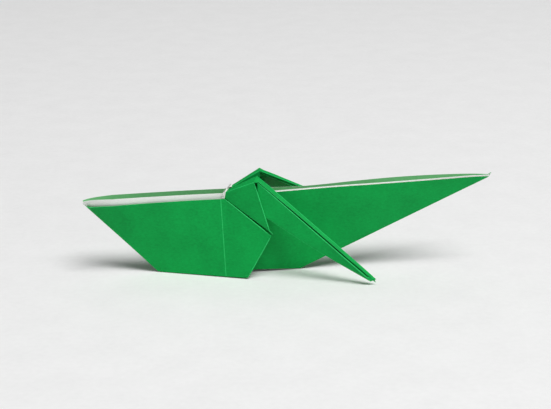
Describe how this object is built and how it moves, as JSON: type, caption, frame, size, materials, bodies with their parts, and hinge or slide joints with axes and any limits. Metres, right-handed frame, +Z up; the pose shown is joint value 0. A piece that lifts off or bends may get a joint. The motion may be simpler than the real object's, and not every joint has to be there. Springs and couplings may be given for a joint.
{
  "type": "origami grasshopper",
  "caption": "Folded paper grasshopper with an open-topped boat-shaped body, a flared front sleeve and a pair of bent jumping legs.",
  "frame": {"origin": "middle of the bounding box in plan, on the table surface", "axes": "+X from the nose towards the tail tip, +Y towards the far, raised leg, +Z up"},
  "size_m": [0.1502, 0.0502, 0.0382],
  "materials": {
    "green_paper": "uncoated origami paper, green on one side and white on the other, with crisp creases"
  },
  "bodies": {
    "root": {"folded_paper": "green_paper"}
  },
  "joints": []
}
